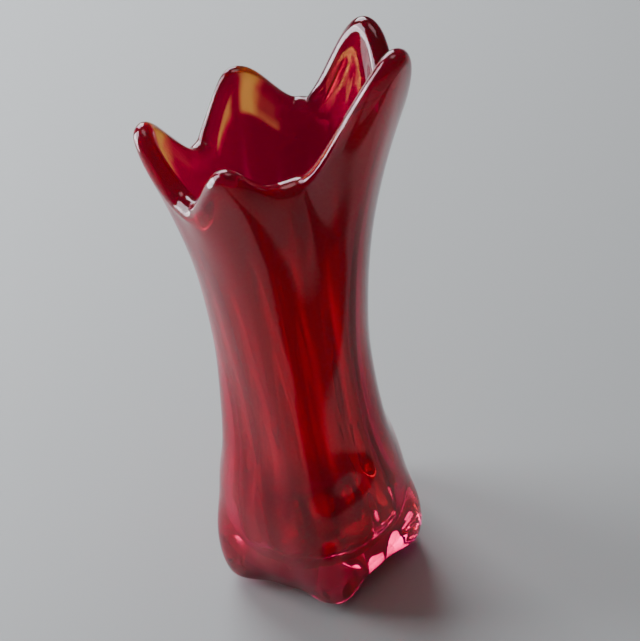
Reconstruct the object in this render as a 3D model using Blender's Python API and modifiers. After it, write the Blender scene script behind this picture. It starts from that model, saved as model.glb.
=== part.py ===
"""Hand blown art glass vase: a ruby lining fused inside a heavy clear casing, drawn into five twisted points.

The build follows the maker's order. Each layer starts as a turned blank, a straight cup as deep as the vase.
The blank is then worked: its wall is ribbed, twisted, waisted and opened, and its lip is drawn into points.
Metres, +Z up, origin at the middle of the flat ground foot.
"""

import math

import bpy
import numpy as np

# Ribs and twist
POINTS = 5
FOOT_ANGLE = math.radians(-83.5)
TWIST = math.radians(-28.5)
RIB_SHARPNESS = (1.9, 1.25)
SHARP_SHARE = 0.35

# Body outline: share of the body height, radius on a rib, radius between ribs
BODY_HEIGHT = 0.186
BODY = (
    (0.00, 0.0405, 0.0315),
    (0.10, 0.0441, 0.0366),
    (0.24, 0.0390, 0.0373),
    (0.43, 0.0330, 0.0302),
    (0.62, 0.0303, 0.0296),
    (0.81, 0.0305, 0.0300),
    (1.00, 0.0430, 0.0328),
)

# Lip, going round from the front point: radius of each point and of the dip that follows it,
# and how far each is drawn up above the body height
POINT_RADIUS = (0.0420, 0.0640, 0.0525, 0.0395, 0.0470)
POINT_DRAW = (0.0430, 0.0865, 0.0545, 0.0345, 0.0370)
DIP_RADIUS = (0.0325, 0.0485, 0.0440, 0.0370, 0.0390)
DIP_DRAW = (0.0280, 0.0410, 0.0105, 0.0095, 0.0170)
FLARE_START = 0.55
FLARE_EASE = 1.7
DRAW_START = 0.30
DRAW_EASE = 2.4
POINT_NARROWNESS = (1.5, 1.7)

# Glass thickness: share of the body height, clear casing, ruby lining
LAYERS = (
    (0.00, 0.0050, 0.0035),
    (0.16, 0.0046, 0.0032),
    (0.43, 0.0036, 0.0026),
    (0.80, 0.0031, 0.0020),
    (1.00, 0.0036, 0.0024),
)
CASING_FLOOR = 0.0045
LINING_FLOOR = 0.009
FUSION_GAP = 0.0003
INNER_RIB_LOSS = 0.55
FOOT_ROUNDING = 0.0065
CAVITY_ROUNDING = 0.016
LEDGE_RISE = 0.0012
LEDGE_GAP = 0.0010

# Mesh fineness
TURN_STEPS = 60
WALL_ROWS = 14
ROUND_ROWS = 5
BLANK_RADIUS = 0.040
BASE_BLEND = 0.030
ROWS_CLOSE_UP = 1.5
TURN_REACH = 0.06
CLIMB_REACH = 0.02
MERGE = 1e-5


def smoothstep(x):
    x = np.clip(x, 0.0, 1.0)
    return x * x * (3.0 - 2.0 * x)


def spline(rows, column, x):
    """Natural cubic spline through the rows' first column and the column asked for."""
    knots = np.array([row[0] for row in rows])
    values = np.array([row[column] for row in rows])
    gaps, count = np.diff(knots), len(knots)
    slopes = np.diff(values) / gaps
    matrix, right = np.eye(count), np.zeros(count)
    for k in range(1, count - 1):
        matrix[k, k - 1 : k + 2] = gaps[k - 1], 2 * (gaps[k - 1] + gaps[k]), gaps[k]
        right[k] = 6 * (slopes[k] - slopes[k - 1])
    bend = np.linalg.solve(matrix, right)
    x = np.clip(x, knots[0], knots[-1])
    k = np.clip(np.searchsorted(knots, x) - 1, 0, count - 2)
    before, after, gap = x - knots[k], knots[k + 1] - x, gaps[k]
    return (
        (bend[k] * after**3 + bend[k + 1] * before**3) / (6 * gap)
        + (values[k] / gap - bend[k] * gap / 6) * after
        + (values[k + 1] / gap - bend[k + 1] * gap / 6) * before
    )


def round_the_lip(turn, at_points, at_dips, narrowness):
    """A size of the lip all the way round, easing from its value on each point to its value in the dip."""
    place = (turn / (2 * math.pi) * POINTS) % POINTS
    lobe = place.astype(int) % POINTS
    share = place - np.floor(place)
    nearer = np.where(share < 0.5, lobe, (lobe + 1) % POINTS)
    dip = np.array(at_dips)[lobe]
    point = np.array(at_points)[nearer]
    return dip + (point - dip) * smoothstep(np.abs(2 * share - 1)) ** narrowness


def outer_skin(turn, climb, rib_share):
    """The worked outer surface. turn is the angle round the blank, and climb runs from 0, foot, to 1, lip."""
    on_rib, between = spline(BODY, 1, climb), spline(BODY, 2, climb)
    at_foot, above = RIB_SHARPNESS
    sharpness = at_foot + (above - at_foot) * smoothstep(climb / SHARP_SHARE)
    rib = (0.5 + 0.5 * np.cos(POINTS * turn)) ** sharpness
    body = between + (on_rib - between) * rib * rib_share
    flare = np.clip((climb - FLARE_START) / (1 - FLARE_START), 0, 1) ** FLARE_EASE
    draw = np.clip((climb - DRAW_START) / (1 - DRAW_START), 0, 1) ** DRAW_EASE
    lip_radius = round_the_lip(turn, POINT_RADIUS, DIP_RADIUS, POINT_NARROWNESS[0])
    lip_height = BODY_HEIGHT + round_the_lip(turn, POINT_DRAW, DIP_DRAW, POINT_NARROWNESS[1])
    radius = body * (1 - flare) + lip_radius * flare
    angle = FOOT_ANGLE + turn + TWIST * climb
    up = BODY_HEIGHT * climb * (1 - draw) + lip_height * draw
    return np.stack([radius * np.cos(angle), radius * np.sin(angle), up], axis=-1)


def unit(vectors):
    return vectors / np.linalg.norm(vectors, axis=-1, keepdims=True)


def work(turn, depth, up, casing):
    """Where a point of the blank ends up, from its angle, its depth inside the blank's wall and its height.

    The ribs fade across the thickness of the casing there, so they are softer on the lining.
    """
    climb = np.clip(up / BODY_HEIGHT, 0.0, 1.0)
    rib_share = 1 - INNER_RIB_LOSS * smoothstep(depth / casing)
    skin = outer_skin(turn, climb, rib_share)
    low = np.maximum(climb - CLIMB_REACH, 0.0)
    high = np.minimum(climb + CLIMB_REACH, 1.0)
    along = outer_skin(turn, high, rib_share) - outer_skin(turn, low, rib_share)
    left, right = turn - TURN_REACH, turn + TURN_REACH
    across = outer_skin(right, climb, rib_share) - outer_skin(left, climb, rib_share)
    outward = unit(np.cross(across, along))
    towards_lip = unit(np.cross(outward, across))
    above = np.maximum(up - BODY_HEIGHT, 0.0)[..., None]
    wall = skin - depth[..., None] * outward + above * towards_lip
    axis = skin * (0.0, 0.0, 1.0)
    base = axis + (skin - axis) * (1 - depth / BLANK_RADIUS)[..., None]
    base_top = CASING_FLOOR + CAVITY_ROUNDING / 2
    zone = smoothstep((up - base_top) / BASE_BLEND)[..., None]
    return base * (1 - zone) + wall * zone


def casing_thickness(up):
    return spline(LAYERS, 1, up / BODY_HEIGHT)


def lining_thickness(up):
    return spline(LAYERS, 2, up / BODY_HEIGHT)


def arc(centre, size, start, end, rows):
    """Points on an arc of radius size, as (radius, height), from one angle in degrees to another."""
    angles = np.radians(np.linspace(start, end, rows + 1))
    return [(centre[0] + size * math.cos(a), centre[1] + size * math.sin(a)) for a in angles]


def wall_heights(low, high):
    """Heights of the rows on a wall, closer together towards the lip, where the glass curves most."""
    share = np.linspace(0, 1, WALL_ROWS)
    return low + (high - low) * (1 - (1 - share) ** ROWS_CLOSE_UP)


def cup(inset, floor, top):
    """One side of a cup-shaped wall, from the middle of its floor up to its top edge.

    inset(up) is how deep in the blank's wall that side lies.
    """
    rounding = CAVITY_ROUNDING
    edge = BLANK_RADIUS - inset(floor + rounding)
    points = [(0.0, floor), ((edge - rounding) / 2, floor)]
    points += arc((edge - rounding, floor + rounding), rounding, -90, 0, ROUND_ROWS)
    for up in wall_heights(floor + rounding, BODY_HEIGHT)[1:]:
        points.append((BLANK_RADIUS - inset(up), up))
    return points + [(BLANK_RADIUS - inset(BODY_HEIGHT), top)]


def casing_profile():
    """From the middle of the inner floor, up inside, over the lip, down outside, to the foot."""
    lip = casing_thickness(BODY_HEIGHT) + FUSION_GAP + lining_thickness(BODY_HEIGHT)
    ledge = BODY_HEIGHT + LEDGE_RISE
    points = cup(casing_thickness, CASING_FLOOR, ledge)
    points += arc((BLANK_RADIUS - lip / 2, ledge), lip / 2, 180, 0, 2 * ROUND_ROWS)
    for up in wall_heights(FOOT_ROUNDING, BODY_HEIGHT)[::-1]:
        points.append((BLANK_RADIUS, up))
    flat = BLANK_RADIUS - FOOT_ROUNDING
    points += arc((flat, FOOT_ROUNDING), FOOT_ROUNDING, 0, -90, ROUND_ROWS)[1:]
    points += [(flat / 2, 0.0), (0.0, 0.0)]
    return points


def lining_profile():
    """From the middle of the cavity's floor, up its wall to the lip, then down the fused side to the axis."""

    def fused_side(up):
        return casing_thickness(up) + FUSION_GAP

    def air_side(up):
        return fused_side(up) + lining_thickness(up)

    top = BODY_HEIGHT + LEDGE_RISE - LEDGE_GAP
    inside = cup(air_side, CASING_FLOOR + FUSION_GAP + LINING_FLOOR, top)
    outside = cup(fused_side, CASING_FLOOR + FUSION_GAP, top)
    return inside + outside[::-1]


def turned_blank(name, profile):
    """The profile spun round the Z axis, as a mesh."""
    line = bpy.data.meshes.new(name + "_profile")
    edges = [(k, k + 1) for k in range(len(profile) - 1)]
    line.from_pydata([(radius, 0.0, up) for radius, up in profile], edges, [])
    guide = bpy.data.objects.new(name + "_profile", line)
    bpy.context.scene.collection.objects.link(guide)
    screw = guide.modifiers.new("turn", "SCREW")
    screw.steps = screw.render_steps = TURN_STEPS
    screw.use_merge_vertices = True
    screw.merge_threshold = MERGE
    bpy.context.view_layer.update()
    blank = bpy.data.meshes.new_from_object(guide.evaluated_get(bpy.context.evaluated_depsgraph_get()))
    bpy.data.objects.remove(guide)
    blank.name = name
    return blank


def work_blank(blank):
    """Moves every point of a turned blank to its place in the finished vase."""
    points = np.empty(len(blank.vertices) * 3, np.float32)
    blank.vertices.foreach_get("co", points)
    x, y, up = points.reshape(-1, 3).T.astype(float)
    turn = np.arctan2(y, x) % (2 * math.pi)
    depth = BLANK_RADIUS - np.hypot(x, y)
    placed = work(turn, depth, up, casing_thickness(up))
    blank.vertices.foreach_set("co", placed.astype(np.float32).ravel())
    blank.update()


def glass(name, colour, roughness):
    material = bpy.data.materials.new(name)
    material.use_nodes = True
    shader = material.node_tree.nodes["Principled BSDF"]
    shader.inputs["Base Color"].default_value = (*colour, 1.0)
    shader.inputs["Roughness"].default_value = roughness
    shader.inputs["Metallic"].default_value = 0.0
    shader.inputs["Transmission Weight"].default_value = 1.0
    shader.inputs["IOR"].default_value = 1.5
    return material


def layer(name, profile, material, collection):
    """One glass layer: its blank turned, worked and given its glass."""
    mesh = turned_blank(name, profile)
    work_blank(mesh)
    mesh.materials.append(material)
    mesh.shade_smooth()
    made = bpy.data.objects.new(name, mesh)
    collection.objects.link(made)
    return made


def main():
    for old in list(bpy.data.objects):
        bpy.data.objects.remove(old)
    vase = bpy.data.collections.new("art_glass_vase")
    bpy.context.scene.collection.children.link(vase)
    layer("clear_casing", casing_profile(), glass("clear_glass", (0.96, 0.97, 0.96), 0.02), vase)
    layer("ruby_lining", lining_profile(), glass("ruby_glass", (0.45, 0.01, 0.02), 0.02), vase)


main()
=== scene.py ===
"""Looks of the hand blown vase: clear glass with a ruby layer sunk inside it, on a pale studio floor.

Metres, +Z up, origin at the middle of the foot. The glass is worked as the maker works it: a turned blank,
a straight cup, goes through a node tree that ribs, twists, waists and flares it and draws its lip into five
points. The same tree marks where the glass is red and where its ruby is thin, and paints light and shade
into it: brighter streaks, patches of amber light, and darker glass in the mouth and low on the foot.
"""

import math

import bpy
from mathutils import Matrix, Vector

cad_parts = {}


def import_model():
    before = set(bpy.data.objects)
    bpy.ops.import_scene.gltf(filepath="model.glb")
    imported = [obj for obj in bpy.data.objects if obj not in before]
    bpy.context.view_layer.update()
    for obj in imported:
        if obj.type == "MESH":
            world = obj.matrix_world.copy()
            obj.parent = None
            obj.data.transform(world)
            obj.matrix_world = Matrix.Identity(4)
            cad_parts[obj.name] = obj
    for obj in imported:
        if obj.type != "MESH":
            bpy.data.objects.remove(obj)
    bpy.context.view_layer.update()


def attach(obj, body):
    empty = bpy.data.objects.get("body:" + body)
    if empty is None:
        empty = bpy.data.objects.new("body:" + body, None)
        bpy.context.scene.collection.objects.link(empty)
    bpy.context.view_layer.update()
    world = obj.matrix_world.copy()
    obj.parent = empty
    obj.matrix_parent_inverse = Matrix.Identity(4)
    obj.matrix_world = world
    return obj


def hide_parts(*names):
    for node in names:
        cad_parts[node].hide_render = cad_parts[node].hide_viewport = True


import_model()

# Ribs and twist, in degrees. The ribs are sharper at the foot, and reach the second sharpness at SHARP_SHARE
# of the way up.
POINTS = 5
FOOT_ANGLE = -83.5
TWIST = -28.5
RIB_SHARPNESS = (1.9, 1.25)
SHARP_SHARE = 0.35

# Body outline: share of the body height, radius on a rib, radius between ribs.
# OUTLINE_SPAN is more than any size in it.
BODY_HEIGHT = 0.186
BODY = (
    (0.00, 0.0405, 0.0315),
    (0.10, 0.0441, 0.0366),
    (0.24, 0.0390, 0.0373),
    (0.43, 0.0330, 0.0302),
    (0.62, 0.0303, 0.0296),
    (0.81, 0.0305, 0.0300),
    (1.00, 0.0430, 0.0328),
)
OUTLINE_SPAN = 0.05

# Lip: radius of each point and of the dip that follows it,
# and how far each is drawn up above the body height.
# The flare and the drawing begin at a share of the way up and grow by a power.
NAMES = ("Front", "Right", "Back Right", "Back Left", "Left")
POINT_RADIUS = (0.0420, 0.0640, 0.0525, 0.0395, 0.0470)
POINT_DRAW = (0.0430, 0.0865, 0.0545, 0.0345, 0.0370)
DIP_RADIUS = (0.0325, 0.0485, 0.0440, 0.0370, 0.0390)
DIP_DRAW = (0.0280, 0.0410, 0.0105, 0.0095, 0.0170)
FLARE_START = 0.55
FLARE_EASE = 1.7
DRAW_START = 0.30
DRAW_EASE = 2.4
POINT_NARROWNESS = (1.5, 1.7)

# Glass thickness: share of the body height, clear casing, ruby lining. A thin gap stands for the fused face
# between them. The ribs are lower on the inside.
LAYERS = (
    (0.00, 0.0050, 0.0035),
    (0.16, 0.0046, 0.0032),
    (0.43, 0.0036, 0.0026),
    (0.80, 0.0031, 0.0020),
    (1.00, 0.0036, 0.0024),
)
CASING_FLOOR = 0.0045
LINING_FLOOR = 0.009
FUSION_GAP = 0.0003
INNER_RIB_LOSS = 0.55
FOOT_ROUNDING = 0.0065
CAVITY_ROUNDING = 0.016
BASE_BLEND = 0.030
BLANK_RADIUS = 0.040

# The ruby layer: how deep it lies under the inner face and under the lip, and how far over the lip it reaches
RUBY_COVER = 0.00015
LIP_COVER = 0.0006
LIP_TURN = 65

# Where the foot is clear: a lens up each corner, as a share of the tallest, with a soft edge
CLEAR_LENS = 0.020
CLEAR_CORNERS = (0.1, 1.0, 0.0, 0.0, 0.6)
CLEAR_NARROWNESS = 9.0
CLEAR_EDGE = 0.002

# Amber patches, painted light where light shining through the thin ruby shows amber: middle round the lip in
# lobes, half width, from and to as shares of the way up, and strength
AMBER_PATCHES = (
    (2.93, 0.08, 0.905, 1.02, 1.0),
    (3.17, 0.15, 0.905, 0.965, 0.9),
    (2.78, 0.13, 0.905, 0.935, 0.6),
    (2.80, 0.10, 0.92, 0.99, 0.35),
    (3.90, 0.09, 0.85, 1.02, 1.0),
    (3.72, 0.14, 0.95, 1.0, 0.35),
    (2.15, 0.06, 0.88, 0.98, 0.5),
)

# Edges of the patches: the full part of the half width, how soft the lower and upper edges are, and how far
# the waves push them aside and up
AMBER_CORE = 0.55
AMBER_EDGE = 0.006
AMBER_FADE = 0.02
AMBER_DRIFT = (0.02, 0.012)

# Ruby streaks, partly the ruby's own thickness and partly painted light for the light bent by the flutes:
# bright lines down the flutes, where it is thin, and finer dark lines. Each has a strength, a narrowness and
# how far the waves push it aside. They fade out between two shares of the way up.
BRIGHT_LINES = (1.5, 9.0, 1.2)
DARK_LINES = (0.9, 7.0, 1.9)
LINES_FADE = (1.0, 0.6)

# Painted light and shade in the ruby, brighter low down and below the neck and darker towards the lip:
# strength, and the shares of the way up where it begins and is full
LIT_LOW_DOWN = (0.40, 0.40, 0.10)
LIT_BELOW_NECK = (0.42, 0.85, 0.60)
SHADED_LIP = (0.20, 0.62, 0.80)
THIN_WAVES = 0.12

# Depths under the outside, in casing thicknesses, where the red inner side of the wall starts and is full,
# and the same for the painted light that brightens the ruby in the floor of the cavity
INNER_SIDE = (0.2, 0.9)
LIT_CAVITY_FLOOR = (2.2, 3.5)

# Painted shade that darkens the glass: low on the foot, holding down the light that shines through it, and at
# the back of the neck, where the mouth is in shade, with its strength first
SHADE_ON_FOOT = (0.10, 0.03)
SHADE_IN_NECK = (0.66, 0.55, 0.78)

# Blown detail: flutes left by the optic mould inside, between shares of the way up, and slow waves of the
# hand-worked surface
FLUTES = 15
FLUTE_DEPTH = 0.0009
FLUTE_START = (0.06, 0.14)
FLUTE_END = (0.70, 0.95)
WAVE_SIZE = 0.030
WAVE_STRETCH = 0.4
WAVE_DEPTH = 0.0004

# How much fuller the rolled lip is, all round and again in the dips, and the share of the way up where that
# begins
LIP_ROLL = 0.22
DIP_ROLL = 0.22
ROLL_START = 0.93

# Fineness of the mesh, and how far aside and along the surface is looked at to find which way it faces
WALL_STEPS = 300
RUBY_STEPS = 240
WALL_ROWS = 112
ROUND_ROWS = 10
ROWS_CLOSE_UP = 1.3
TURN_REACH = 0.06
CLIMB_REACH = 0.02
MERGE = 1e-5

# Tint of the wall's surface, where it is clear, where it is red, where painted shade darkens it, and where
# painted amber light shines through
CLEAR_TINT = (0.98, 0.985, 0.98, 1.0)
RUBY_TINT = (0.98, 0.0, 0.145, 1.0)
SHADE_TINT = (0.16, 0.0, 0.015, 1.0)
AMBER_TINT = (0.88, 0.46, 0.13, 1.0)

# What the ruby layer lets through, where it is thick, where it is thin and painted light brightens it, and
# where painted amber light shines through, and the colours and finish of the small share of it that light
# does not pass
THICK_LAYER = (0.72, 0.17, 0.56, 1.0)
THIN_AND_LIT_LAYER = (1.0, 0.78, 0.98, 1.0)
AMBER_LAYER = (1.0, 0.93, 0.8, 1.0)
RUBY_BODY = (0.85, 0.012, 0.26, 1.0)
AMBER_BODY = (0.80, 0.42, 0.12, 1.0)
BODY_SHARE = 0.14
BODY_ROUGHNESS = 0.5

# Glass surface: bend of light, share let through, faint wear, and the cords that drawing leaves
GLASS_IOR = 1.47
LET_THROUGH = 0.95
WEAR = {"scale": 90.0, "detail": 3.0, "stretch": (1.0, 1.0, 0.15)}
WEAR_RANGE = (0.4, 0.75)
WORN_ROUGHNESS = 0.035
CORDS = {"scale": 160.0, "detail": 2.0, "stretch": (1.0, 1.0, 0.12)}
CORD_STRENGTH = 0.25
CORD_DEPTH = 0.00006

# Floor: pale paper, with a dark strip of painted shade beside the vase, at the front right, which the glass
# mirrors
FLOOR_HALF = 2.0
FLOOR_DROP = 0.0002
FLOOR_ROUGHNESS = 0.85
PALE_PAPER = (0.39, 0.38, 0.37, 1.0)
PAINTED_SHADE_PAPER = (0.06, 0.06, 0.06, 1.0)
SHADE_STRIP_DIRECTION = (0.5, -0.866, 0.0)
SHADE_STRIP_NEAR_EDGE = (0.128, 0.140)
SHADE_STRIP_FAR_EDGE = (0.198, 0.182)

# Light: name, place, aim, size, watts and colour of each lamp, and the even light from all round
COOL = (0.86, 0.93, 1.0)
LAMPS = (
    ("window_back", (-0.32, 0.95, 0.68), (0.0, 0.0, 0.25), (0.80, 0.75), 22.0, COOL),
    ("window_left", (-0.85, 0.28, 0.42), (0.0, 0.0, 0.20), (0.42, 0.75), 10.0, COOL),
    ("card_left", (-0.55, 0.20, 0.11), (0.04, 0.02, 0.24), (0.34, 0.22), 2.8, (0.90, 0.94, 1.0)),
    ("overhead", (0.1, 0.2, 1.5), (0.0, 0.0, 0.15), (0.8, 0.6), 4.0, (1.0, 0.98, 0.95)),
)
SKY_COLOUR = (0.85, 0.9, 1.0, 1.0)
SKY_STRENGTH = 0.10

# Camera: how far it looks down and is rolled, its lens in millimetres, and what it aims at from how far
CAMERA_PITCH = 43.34
CAMERA_ROLL = 7.25
CAMERA_LENS = 129.2
CAMERA_SENSOR = 36.0
CAMERA_AIM = (0.0112, 0.0, 0.1249)
CAMERA_DISTANCE = 0.890


# Arithmetic that builds nodes


class Term:
    """A number or direction worked out by a node tree. Arithmetic on it adds the nodes that do the sum."""

    def __init__(self, tree, socket):
        self.tree = tree
        self.socket = socket

    def feed(self, slot, value):
        if isinstance(value, Term):
            self.tree.links.new(value.socket, slot)
        else:
            slot.default_value = value

    def through(self, kind, operation, *others):
        node = self.tree.nodes.new(kind)
        node.operation = operation
        for slot, value in zip(node.inputs, (self, *others)):
            self.feed(slot, value)
        return node

    def math(self, operation, *others):
        return Term(self.tree, self.through("ShaderNodeMath", operation, *others).outputs[0])

    def vector(self, operation, *others):
        return Term(self.tree, self.through("ShaderNodeVectorMath", operation, *others).outputs["Vector"])

    def length(self):
        return Term(self.tree, self.through("ShaderNodeVectorMath", "LENGTH").outputs["Value"])

    def scaled(self, size):
        node = self.through("ShaderNodeVectorMath", "SCALE")
        self.feed(node.inputs["Scale"], size)
        return Term(self.tree, node.outputs["Vector"])

    def eased(self, start, end):
        """0 before start and 1 after end, with a smooth step between them."""
        node = self.tree.nodes.new("ShaderNodeMapRange")
        node.interpolation_type = "SMOOTHSTEP"
        self.feed(node.inputs["Value"], self)
        self.feed(node.inputs["From Min"], start)
        self.feed(node.inputs["From Max"], end)
        return Term(self.tree, node.outputs["Result"])

    def mixed(self, low, high):
        """low where this is 0, high where it is 1."""
        return (high - low) * self + low

    def __add__(self, other):
        return self.math("ADD", other)

    def __sub__(self, other):
        return self.math("SUBTRACT", other)

    def __mul__(self, other):
        return self.math("MULTIPLY", other)

    def __truediv__(self, other):
        return self.math("DIVIDE", other)

    def __pow__(self, other):
        return self.math("POWER", other)


def ridges(angle, narrowness):
    """1 on each crest of a wave in the angle, and 0 midway between crests."""
    return (angle.math("COSINE") * 0.5 + 0.5) ** narrowness


def size_input(tree, name, value):
    """A named size on the tree's modifier."""
    socket = tree.interface.new_socket(name=name, in_out="INPUT", socket_type="NodeSocketFloat")
    socket.default_value = value


class Sizes:
    """The sizes that the glass is worked to, each a named input of the tree."""

    def __init__(self, tree, entry):
        self.tree = tree
        self.entry = entry

    def __getitem__(self, name):
        return Term(self.tree, self.entry.outputs[name])


def pick(index, values):
    """The value that belongs to a lobe of the lip."""
    node = index.tree.nodes.new("GeometryNodeIndexSwitch")
    node.data_type = "FLOAT"
    while len(node.index_switch_items) < len(values):
        node.index_switch_items.new()
    index.feed(node.inputs["Index"], index)
    for slot, value in zip(node.inputs[1:], values):
        index.feed(slot, value)
    return Term(index.tree, node.outputs[0])


def outline(climb, label, rows, column):
    """A size read off a drawn outline, from the foot, 0, to the lip, 1."""
    node = climb.tree.nodes.new("ShaderNodeFloatCurve")
    node.label = label
    curve = node.mapping.curves[0]
    for point, row in zip(curve.points, (rows[0], rows[-1])):
        point.location = (row[0], row[column] / OUTLINE_SPAN)
    for row in rows[1:-1]:
        curve.points.new(row[0], row[column] / OUTLINE_SPAN)
    node.mapping.update()
    climb.feed(node.inputs["Value"], climb)
    return Term(climb.tree, node.outputs[0]) * OUTLINE_SPAN


def combine(x, y, z):
    node = x.tree.nodes.new("ShaderNodeCombineXYZ")
    for slot, value in zip(node.inputs, (x, y, z)):
        x.feed(slot, value)
    return Term(x.tree, node.outputs[0])


# The vase's form


def round_the_lip(sizes, turn):
    """What the lip is like at an angle round the vase, eased between its points and its dips.

    Radius and Draw are its size, Clear is how clear the foot's corner under it is, swell is 1 on a point and
    0 in a dip, and place is the angle counted in lobes.
    """
    place = (turn * (POINTS / math.tau)).math("FLOORED_MODULO", float(POINTS))
    lobe = place.math("FLOOR")
    share = place - lobe
    nearer = (place + 0.5).math("FLOOR").math("FLOORED_MODULO", float(POINTS))
    swell = (share * 2.0 - 1.0).math("ABSOLUTE").eased(0.0, 1.0)
    found = {}
    for what in ("Radius", "Draw"):
        narrowness = sizes[f"Point Narrowness, {what}"]
        at_dip = pick(lobe, [sizes[f"{name} Dip {what}"] for name in NAMES])
        at_point = pick(nearer, [sizes[f"{name} Point {what}"] for name in NAMES])
        found[what] = (at_point - at_dip) * swell**narrowness + at_dip
    found["Clear"] = pick(nearer, [sizes[f"{name} Clear Corner"] for name in NAMES])
    found["swell"] = swell
    found["place"] = place
    return found


def outer_skin(sizes, turn, lip, climb, rib_share):
    """The worked outer surface at an angle and a share of the way up."""
    on_rib = outline(climb, "radius on a rib", BODY, 1)
    off_rib = outline(climb, "radius between ribs", BODY, 2)
    risen = climb.eased(0.0, SHARP_SHARE)
    sharpness = risen.mixed(sizes["Rib Sharpness, Foot"], sizes["Rib Sharpness, Body"])
    rib = ridges(turn * float(POINTS), sharpness)
    body = (on_rib - off_rib) * rib * rib_share + off_rib
    flare = ((climb - FLARE_START) / (1 - FLARE_START)).math("MAXIMUM", 0.0) ** FLARE_EASE
    draw = ((climb - DRAW_START) / (1 - DRAW_START)).math("MAXIMUM", 0.0) ** DRAW_EASE
    radius = flare.mixed(body, lip["Radius"])
    up = draw.mixed(climb * sizes["Body Height"], lip["Draw"] + sizes["Body Height"])
    angle = turn + sizes["Foot Angle"] + climb * sizes["Twist"]
    return combine(radius * angle.math("COSINE"), radius * angle.math("SINE"), up)


def waves(skin, sizes):
    """Slow waves in the surface, longer up the vase than round it."""
    ripple = skin.tree.nodes.new("ShaderNodeTexNoise")
    ripple.inputs["Scale"].default_value = 1.0
    ripple.inputs["Detail"].default_value = 1.0
    drawn_out = skin.vector("MULTIPLY", (1.0, 1.0, WAVE_STRETCH))
    per_wave = drawn_out.vector("DIVIDE", combine(*(sizes["Wave Size"],) * 3))
    skin.feed(ripple.inputs["Vector"], per_wave)
    return (Term(skin.tree, ripple.outputs["Fac"]) - 0.5) * 2.0 * sizes["Wave Depth"]


def amber_patches(place, climb, drift):
    """Painted amber light on the glass, from 0 to 1. The patches' edges wander a little with the waves."""
    aside, upward = AMBER_DRIFT
    amber = climb * 0.0
    # Each patch is painted amber light, where light shines through the thin ruby of a lobe
    for middle, width, low, high, strength in AMBER_PATCHES:
        beside = (place - middle + drift * aside).math("ABSOLUTE").eased(width, width * AMBER_CORE)
        above = (climb + drift * upward).eased(low - AMBER_EDGE, low + AMBER_EDGE)
        below = climb.eased(high + AMBER_FADE, high - AMBER_FADE)
        amber = amber.math("MAXIMUM", beside * above * below * strength)
    return amber


def thin_and_lit_ruby(sizes, turn, climb, inwards, drift):
    """How bright the ruby is: partly where it is thin, partly painted light and shade."""
    bright, bright_narrowness, bright_drift = BRIGHT_LINES
    dark, dark_narrowness, dark_drift = DARK_LINES
    # Bright and dark lines down the flutes: partly the ruby's own thickness, partly painted light bent by the
    # flutes
    line = ridges(turn * sizes["Flutes"] + drift * bright_drift, bright_narrowness)
    fine = ridges(turn * (sizes["Flutes"] * 2.0 + 1.0) - drift * dark_drift, dark_narrowness)
    thin_and_lit = (line * bright - fine * dark) * climb.eased(*LINES_FADE) * inwards.eased(*INNER_SIDE)
    # Painted light brightens the ruby low down and below the neck, and painted shade darkens it towards the
    # lip
    for strength, start, end in (LIT_LOW_DOWN, LIT_BELOW_NECK):
        thin_and_lit = thin_and_lit + climb.eased(start, end) * strength
    strength, start, end = SHADED_LIP
    return thin_and_lit + inwards.eased(*LIT_CAVITY_FLOOR) + drift * THIN_WAVES - climb.eased(start, end) * strength


def glass_colours(sizes, turn, up, climb, lip, inwards, drift):
    """How red the glass is, how thin and lit its ruby, and its painted shade and amber light, each from 0 to
    1.
    """
    cleared = ridges(turn * float(POINTS), CLEAR_NARROWNESS) * lip["Clear"]
    above_lens = (up - cleared * CLEAR_LENS).eased(-CLEAR_EDGE, 0.0)
    behind = turn.math("COSINE") * -0.5 + 0.5
    # Painted shade: darker low on the foot, against the light shining through it, and at the back of the neck
    # in the mouth
    strength, start, end = SHADE_IN_NECK
    at_foot = climb.eased(*SHADE_ON_FOOT) * (cleared * -1.0 + 1.0)
    return {
        "red": inwards.eased(*INNER_SIDE).math("MAXIMUM", above_lens),
        "thin_and_lit": thin_and_lit_ruby(sizes, turn, climb, inwards, drift),
        "painted_shade": at_foot + climb.eased(start, end) * behind**2.0 * strength,
        "amber": amber_patches(lip["place"], climb, drift),
    }


def add_sizes(tree):
    """The named sizes of the tree, with what they are by default."""
    size_input(tree, "Body Height", BODY_HEIGHT)
    size_input(tree, "Foot Angle", math.radians(FOOT_ANGLE))
    size_input(tree, "Twist", math.radians(TWIST))
    size_input(tree, "Rib Sharpness, Foot", RIB_SHARPNESS[0])
    size_input(tree, "Rib Sharpness, Body", RIB_SHARPNESS[1])
    size_input(tree, "Point Narrowness, Radius", POINT_NARROWNESS[0])
    size_input(tree, "Point Narrowness, Draw", POINT_NARROWNESS[1])
    for k, lobe in enumerate(NAMES):
        size_input(tree, f"{lobe} Point Radius", POINT_RADIUS[k])
        size_input(tree, f"{lobe} Point Draw", POINT_DRAW[k])
        size_input(tree, f"{lobe} Dip Radius", DIP_RADIUS[k])
        size_input(tree, f"{lobe} Dip Draw", DIP_DRAW[k])
        size_input(tree, f"{lobe} Clear Corner", CLEAR_CORNERS[k])
    size_input(tree, "Flutes", float(FLUTES))
    size_input(tree, "Flute Depth", FLUTE_DEPTH)
    size_input(tree, "Wave Size", WAVE_SIZE)
    size_input(tree, "Wave Depth", WAVE_DEPTH)
    size_input(tree, "Dip Roll", DIP_ROLL)
    size_input(tree, "Lip Roll", LIP_ROLL)


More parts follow.
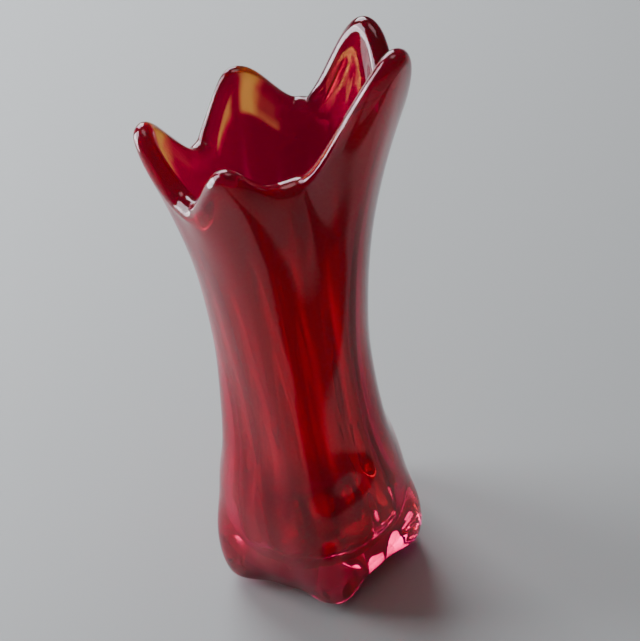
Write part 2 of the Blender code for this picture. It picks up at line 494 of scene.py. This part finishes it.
def directions(sizes, turn, lip, climb, rib_share):
    """Straight out of the worked surface, and along it towards the lip."""
    low = (climb - CLIMB_REACH).math("MAXIMUM", 0.0)
    high = (climb + CLIMB_REACH).math("MINIMUM", 1.0)
    left, right = turn - TURN_REACH, turn + TURN_REACH
    below = outer_skin(sizes, turn, lip, low, rib_share)
    beyond = outer_skin(sizes, turn, lip, high, rib_share)
    before = outer_skin(sizes, left, round_the_lip(sizes, left), climb, rib_share)
    after = outer_skin(sizes, right, round_the_lip(sizes, right), climb, rib_share)
    along = beyond.vector("SUBTRACT", below)
    across = after.vector("SUBTRACT", before)
    outward = across.vector("CROSS_PRODUCT", along).vector("NORMALIZE")
    return outward, outward.vector("CROSS_PRODUCT", across).vector("NORMALIZE")


def store(geometry, name, amount):
    """The geometry with the amount kept on each of its points under a name."""
    keep = geometry.tree.nodes.new("GeometryNodeStoreNamedAttribute")
    keep.data_type = "FLOAT"
    keep.inputs["Name"].default_value = name
    geometry.feed(keep.inputs["Geometry"], geometry)
    amount.feed(keep.inputs["Value"], amount)
    return Term(geometry.tree, keep.outputs[0])


def finish_tree(tree, entry, blank, worked):
    """The blank with its points moved to where they belong, smooth, plain and given its glass."""
    move = tree.nodes.new("GeometryNodeSetPosition")
    smooth = tree.nodes.new("GeometryNodeSetShadeSmooth")
    real = tree.nodes.new("GeometryNodeRealizeInstances")
    cover = tree.nodes.new("GeometryNodeSetMaterial")
    leave = tree.nodes.new("NodeGroupOutput")
    blank.feed(move.inputs["Geometry"], blank)
    tree.links.new(worked.socket, move.inputs["Position"])
    tree.links.new(move.outputs[0], smooth.inputs["Geometry"])
    tree.links.new(smooth.outputs[0], real.inputs["Geometry"])
    tree.links.new(real.outputs[0], cover.inputs["Geometry"])
    tree.links.new(entry.outputs["Glass"], cover.inputs["Material"])
    tree.links.new(cover.outputs[0], leave.inputs[0])


def working_tree(name):
    """The node tree that works a turned blank into the vase."""
    tree = bpy.data.node_groups.new(name, "GeometryNodeTree")
    tree.is_modifier = True
    tree.interface.new_socket(name="Blank", in_out="INPUT", socket_type="NodeSocketGeometry")
    tree.interface.new_socket(name="Glass", in_out="INPUT", socket_type="NodeSocketMaterial")
    tree.interface.new_socket(name="Vase", in_out="OUTPUT", socket_type="NodeSocketGeometry")
    add_sizes(tree)
    entry = tree.nodes.new("NodeGroupInput")
    sizes = Sizes(tree, entry)

    # Where a point of the blank is: angle round it, height, and depth under its outside
    spot = Term(tree, tree.nodes.new("GeometryNodeInputPosition").outputs[0])
    parts = tree.nodes.new("ShaderNodeSeparateXYZ")
    spot.feed(parts.inputs[0], spot)
    x, y, up = (Term(tree, parts.outputs[k]) for k in range(3))
    turn = y.math("ARCTAN2", x)
    depth = combine(x, y, 0.0).length() * -1.0 + BLANK_RADIUS
    climb = (up / sizes["Body Height"]).math("MINIMUM", 1.0)

    # How deep it lies in the finished wall, with the flutes and the rolled lip
    casing = outline(climb, "casing thickness", LAYERS, 1)
    lining = outline(climb, "lining thickness", LAYERS, 2)
    lip = round_the_lip(sizes, turn)
    air_side = casing + lining + (FUSION_GAP - RUBY_COVER)
    from_air = air_side - depth
    through_casing = (depth / casing).eased(0.0, 1.0)
    fluted = climb.eased(*FLUTE_START) * (climb.eased(*FLUTE_END) * -1.0 + 1.0) * through_casing
    flute = (turn * sizes["Flutes"]).math("COSINE") * sizes["Flute Depth"] * fluted
    in_dip = lip["swell"] * -1.0 + 1.0
    rolled = (in_dip * sizes["Dip Roll"] + sizes["Lip Roll"]) * climb.eased(ROLL_START, 1.0) + 1.0
    layered = (air_side - from_air + flute * (from_air / lining + 0.5)) * rolled

    # Where that is on the vase: straight in from the worked surface, or towards the axis in the solid base
    rib_share = through_casing * -INNER_RIB_LOSS + 1.0
    skin = outer_skin(sizes, turn, lip, climb, rib_share)
    outward, towards_lip = directions(sizes, turn, lip, climb, rib_share)
    above = (up - sizes["Body Height"]).math("MAXIMUM", 0.0) * rolled
    wave = waves(skin, sizes) * up.eased(FOOT_ROUNDING, BASE_BLEND)
    wall = skin.vector("ADD", outward.scaled(wave - layered)).vector("ADD", towards_lip.scaled(above))
    axis = skin.vector("MULTIPLY", (0.0, 0.0, 1.0))
    spoke = skin.vector("SUBTRACT", axis)
    base = axis.vector("ADD", spoke.scaled(depth * (-1 / BLANK_RADIUS) + 1.0))
    base_top = CASING_FLOOR + CAVITY_ROUNDING / 2
    zone = up.eased(base_top, base_top + BASE_BLEND)
    worked = base.vector("ADD", wall.vector("SUBTRACT", base).scaled(zone))

    blank = Term(tree, entry.outputs["Blank"])
    drift = wave / sizes["Wave Depth"]
    for kind, amount in glass_colours(sizes, turn, up, climb, lip, depth / casing, drift).items():
        blank = store(blank, kind, amount)
    finish_tree(tree, entry, blank, worked)
    return tree


# Turned blanks


def layer_size(up, column):
    """Thickness of a layer at a height of the blank, on straight lines between the rows."""
    share = min(up / BODY_HEIGHT, 1.0)
    for low, high in zip(LAYERS, LAYERS[1:]):
        if share <= high[0]:
            return low[column] + (high[column] - low[column]) * (share - low[0]) / (high[0] - low[0])
    return LAYERS[-1][column]


def arc(centre, size, start, end, rows):
    """Points on an arc of radius size, as (radius, height), from one angle in degrees to another."""
    points = []
    for k in range(rows + 1):
        angle = math.radians(start + (end - start) * k / rows)
        points.append((centre[0] + size * math.cos(angle), centre[1] + size * math.sin(angle)))
    return points


def wall_heights(low, high):
    """Heights of the rows on a wall, a little closer together towards the lip."""
    shares = [k / (WALL_ROWS - 1) for k in range(WALL_ROWS)]
    return [low + (high - low) * (1 - (1 - share) ** ROWS_CLOSE_UP) for share in shares]


def flat_rows(edge, up):
    """Rings on a flat floor, from its middle to near its edge."""
    return [(edge * k / ROUND_ROWS, up) for k in range(ROUND_ROWS)]


def cup(inset, floor):
    """One side of a cup-shaped wall, from the middle of its floor up to the body height."""
    edge = BLANK_RADIUS - inset(floor + CAVITY_ROUNDING)
    points = flat_rows(edge - CAVITY_ROUNDING, floor)
    points += arc((edge - CAVITY_ROUNDING, floor + CAVITY_ROUNDING), CAVITY_ROUNDING, -90, 0, ROUND_ROWS)
    for up in wall_heights(floor + CAVITY_ROUNDING, BODY_HEIGHT)[1:]:
        points.append((BLANK_RADIUS - inset(up), up))
    return points


def wall_profile():
    """The whole wall: up inside, over the lip, down outside, to the foot."""

    def inset(up):
        return layer_size(up, 1) + FUSION_GAP + layer_size(up, 2)

    lip = inset(BODY_HEIGHT)
    points = cup(inset, CASING_FLOOR + FUSION_GAP + LINING_FLOOR)
    points += arc((BLANK_RADIUS - lip / 2, BODY_HEIGHT), lip / 2, 180, 0, 2 * ROUND_ROWS)[1:-1]
    points += [(BLANK_RADIUS, up) for up in wall_heights(FOOT_ROUNDING, BODY_HEIGHT)[::-1]]
    flat = BLANK_RADIUS - FOOT_ROUNDING
    points += arc((flat, FOOT_ROUNDING), FOOT_ROUNDING, 0, -90, ROUND_ROWS)[1:]
    points += flat_rows(flat, 0.0)[::-1]
    return points


def ruby_profile():
    """The ruby layer, just under the wall's inner face: up its air side, over, and down its fused side."""

    def air_side(up):
        return layer_size(up, 1) + layer_size(up, 2) + FUSION_GAP - RUBY_COVER

    def fused_side(up):
        return layer_size(up, 1)

    lip = air_side(BODY_HEIGHT) + RUBY_COVER
    points = cup(air_side, CASING_FLOOR + FUSION_GAP + LINING_FLOOR - RUBY_COVER)
    points += arc((BLANK_RADIUS - lip / 2, BODY_HEIGHT), lip / 2 - LIP_COVER, 170, LIP_TURN, ROUND_ROWS)
    points += cup(fused_side, CASING_FLOOR)[::-1]
    return points


def worked_glass(name, profile, steps, material, tree):
    """A profile spun round Z, worked by the tree and made a plain mesh."""
    line = bpy.data.meshes.new(name + "_profile")
    edges = [(k, k + 1) for k in range(len(profile) - 1)]
    line.from_pydata([(radius, 0.0, up) for radius, up in profile], edges, [])
    guide = bpy.data.objects.new(name + "_profile", line)
    bpy.context.scene.collection.objects.link(guide)
    screw = guide.modifiers.new("turn", "SCREW")
    screw.steps = screw.render_steps = steps
    screw.use_merge_vertices = True
    screw.merge_threshold = MERGE
    working = guide.modifiers.new("work", "NODES")
    working.node_group = tree
    for socket in tree.interface.items_tree:
        if socket.name == "Glass":
            working[socket.identifier] = material
    mesh = bpy.data.meshes.new_from_object(guide.evaluated_get(bpy.context.evaluated_depsgraph_get()))
    bpy.data.objects.remove(guide)
    mesh.name = name
    piece = bpy.data.objects.new(name, mesh)
    bpy.context.scene.collection.objects.link(piece)
    return piece


# Materials


def principled(name):
    material = bpy.data.materials.new(name)
    material.use_nodes = True
    return material, material.node_tree, material.node_tree.nodes["Principled BSDF"]


def marked(tree, name):
    """A share, from 0 to 1, that the working tree has marked on the glass."""
    node = tree.nodes.new("ShaderNodeAttribute")
    node.attribute_name = name
    return node.outputs["Fac"]


def blend(tree, amount, low, high):
    """The colour low where amount is 0 and high where it is 1."""
    node = tree.nodes.new("ShaderNodeMix")
    node.data_type = "RGBA"
    factor, _, _, _, _, _, first, second = node.inputs[:8]
    tree.links.new(amount, factor)
    for slot, value in ((first, low), (second, high)):
        if isinstance(value, tuple):
            slot.default_value = value
        else:
            tree.links.new(value, slot)
    return node.outputs[2]


def noise(tree, scale, detail, stretch):
    """Noise fixed to the object, drawn out along Z where the last of stretch is under 1."""
    spot = tree.nodes.new("ShaderNodeTexCoord")
    drawn = tree.nodes.new("ShaderNodeVectorMath")
    drawn.operation = "MULTIPLY"
    drawn.inputs[1].default_value = stretch
    made = tree.nodes.new("ShaderNodeTexNoise")
    made.inputs["Scale"].default_value = scale
    made.inputs["Detail"].default_value = detail
    tree.links.new(spot.outputs["Object"], drawn.inputs[0])
    tree.links.new(drawn.outputs[0], made.inputs["Vector"])
    return made.outputs["Fac"]


def mapped(tree, amount, low, high, to_low, to_high):
    """The amount, mapped from one range to another."""
    node = tree.nodes.new("ShaderNodeMapRange")
    for slot, value in zip(node.inputs[1:5], (low, high, to_low, to_high)):
        slot.default_value = value
    tree.links.new(amount, node.inputs[0])
    return node.outputs[0]


def clear_glass():
    """The whole wall, tinted by the ruby that it carries, with painted shade and amber light, clear at the
    foot's corners.
    """
    material, tree, shader = principled("clear_glass")
    # Painted shade darkens the ruby tint at the foot and in the mouth, and painted amber light goes over it
    ruby = blend(tree, marked(tree, "painted_shade"), RUBY_TINT, SHADE_TINT)
    cased = blend(tree, marked(tree, "red"), CLEAR_TINT, ruby)
    tree.links.new(blend(tree, marked(tree, "amber"), cased, AMBER_TINT), shader.inputs["Base Color"])
    worn = mapped(tree, noise(tree, **WEAR), *WEAR_RANGE, 0.0, WORN_ROUGHNESS)
    tree.links.new(worn, shader.inputs["Roughness"])
    bump = tree.nodes.new("ShaderNodeBump")
    bump.inputs["Strength"].default_value = CORD_STRENGTH
    bump.inputs["Distance"].default_value = CORD_DEPTH
    tree.links.new(noise(tree, **CORDS), bump.inputs["Height"])
    tree.links.new(bump.outputs[0], shader.inputs["Normal"])
    shader.inputs["IOR"].default_value = GLASS_IOR
    shader.inputs["Transmission Weight"].default_value = LET_THROUGH
    return material


def ruby_glass():
    """The ruby layer inside the wall, dark red, with brighter lines where it is thin and where painted light
    falls.

    It is fused to the glass round it, so it neither shines nor bends light.
    """
    material, tree, shader = principled("ruby_glass")
    # Brighter where the ruby is thin and where painted light is marked; amber where painted light shines
    # through
    tint = blend(tree, marked(tree, "thin_and_lit"), THICK_LAYER, THIN_AND_LIT_LAYER)
    tint = blend(tree, marked(tree, "amber"), tint, AMBER_LAYER)
    body = blend(tree, marked(tree, "amber"), RUBY_BODY, AMBER_BODY)
    see_through = tree.nodes.new("ShaderNodeBsdfTransparent")
    tree.links.new(tint, see_through.inputs["Color"])
    tree.links.new(body, shader.inputs["Base Color"])
    shader.inputs["Roughness"].default_value = BODY_ROUGHNESS
    shader.inputs["Specular IOR Level"].default_value = 0.0
    both = tree.nodes.new("ShaderNodeMixShader")
    both.inputs[0].default_value = BODY_SHARE
    tree.links.new(see_through.outputs[0], both.inputs[1])
    tree.links.new(shader.outputs[0], both.inputs[2])
    tree.links.new(both.outputs[0], tree.nodes["Material Output"].inputs["Surface"])
    return material


def floor_paper():
    """Matt paper, pale but for a dark strip of painted shade, which the glass mirrors."""
    material, tree, shader = principled("floor_paper")
    spot = Term(tree, tree.nodes.new("ShaderNodeTexCoord").outputs["Object"])
    measured = spot.through("ShaderNodeVectorMath", "DOT_PRODUCT", SHADE_STRIP_DIRECTION)
    across = Term(tree, measured.outputs["Value"])
    # Painted shade: a dark strip on the paper beside the vase, for the glass to mirror as shade
    shade_strip = across.eased(*SHADE_STRIP_NEAR_EDGE) * across.eased(*SHADE_STRIP_FAR_EDGE)
    tree.links.new(blend(tree, shade_strip.socket, PALE_PAPER, PAINTED_SHADE_PAPER), shader.inputs["Base Color"])
    shader.inputs["Roughness"].default_value = FLOOR_ROUGHNESS
    return material


# Studio


def floor():
    mesh = bpy.data.meshes.new("floor")
    corners = [(x * FLOOR_HALF, y * FLOOR_HALF, 0.0) for x, y in ((-1, -1), (1, -1), (1, 1), (-1, 1))]
    mesh.from_pydata(corners, [], [(0, 1, 2, 3)])
    mesh.materials.append(floor_paper())
    made = bpy.data.objects.new("floor", mesh)
    made.location.z = -FLOOR_DROP
    bpy.context.scene.collection.objects.link(made)


def softbox(name, place, target, size, power, colour):
    """A flat, rectangular lamp that faces its target."""
    data = bpy.data.lights.new(name, "AREA")
    data.shape = "RECTANGLE"
    data.size, data.size_y = size
    data.energy = power
    data.color = colour
    lamp = bpy.data.objects.new(name, data)
    lamp.location = place
    lamp.rotation_euler = (Vector(target) - Vector(place)).to_track_quat("-Z", "Y").to_euler()
    bpy.context.scene.collection.objects.link(lamp)


def camera():
    """Looks down on the vase from the front, rolled a little to the side."""
    pitch, roll = math.radians(CAMERA_PITCH), math.radians(CAMERA_ROLL)
    data = bpy.data.cameras.new("camera")
    data.lens = CAMERA_LENS
    data.sensor_width = CAMERA_SENSOR
    made = bpy.data.objects.new("camera", data)
    ahead = Vector((0.0, math.cos(pitch), -math.sin(pitch)))
    level = Vector((1.0, 0.0, 0.0))
    rise = Vector((0.0, math.sin(pitch), math.cos(pitch)))
    right = level * math.cos(roll) - rise * math.sin(roll)
    upright = level * math.sin(roll) + rise * math.cos(roll)
    turned = Matrix((right, upright, -ahead)).transposed().to_4x4()
    made.matrix_world = Matrix.Translation(Vector(CAMERA_AIM) - ahead * CAMERA_DISTANCE) @ turned
    bpy.context.scene.collection.objects.link(made)
    bpy.context.scene.camera = made


def world():
    """Even, dim light from all round."""
    sky = bpy.data.worlds.new("studio")
    sky.use_nodes = True
    background = sky.node_tree.nodes["Background"]
    background.inputs["Color"].default_value = SKY_COLOUR
    background.inputs["Strength"].default_value = SKY_STRENGTH
    bpy.context.scene.world = sky


def main():
    tree = working_tree("work_the_glass")
    wall = worked_glass("vase_wall", wall_profile(), WALL_STEPS, clear_glass(), tree)
    ruby = worked_glass("ruby_layer", ruby_profile(), RUBY_STEPS, ruby_glass(), tree)
    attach(wall, "root")
    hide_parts("clear_casing")
    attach(ruby, "root")
    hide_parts("ruby_lining")
    floor()
    world()
    for lamp in LAMPS:
        softbox(*lamp)
    camera()


main()
